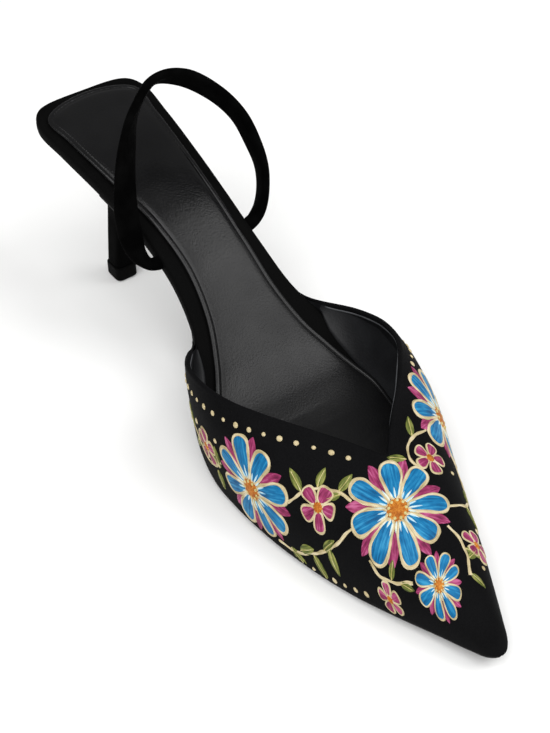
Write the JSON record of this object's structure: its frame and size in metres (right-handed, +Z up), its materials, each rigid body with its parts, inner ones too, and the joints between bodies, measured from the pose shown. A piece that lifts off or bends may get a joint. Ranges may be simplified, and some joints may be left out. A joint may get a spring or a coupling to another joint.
{
  "type": "slingback kitten heel",
  "caption": "Pointed slingback shoe for the left foot with a V throat, an elastic strap round the heel, a padded sock and a slim kitten heel.",
  "frame": {"origin": "middle of the shoe's length and width, on the floor it stands on", "axes": "+Z up, toe towards -Y, heel towards +Y, lateral side of this left shoe towards +X"},
  "size_m": [0.0782, 0.2468, 0.0943],
  "materials": {
    "suede": "matte black suede",
    "sock": "soft grained leather",
    "sole": "matte sole sheet",
    "top_piece": "hard rubber",
    "strap": "covered elastic"
  },
  "bodies": {
    "root": {"outsole": "sole", "footbed": "suede", "sock_lining": "sock", "upper": "suede", "heel": "suede", "heel_tip": "top_piece", "sling_strap": "strap"}
  },
  "joints": []
}
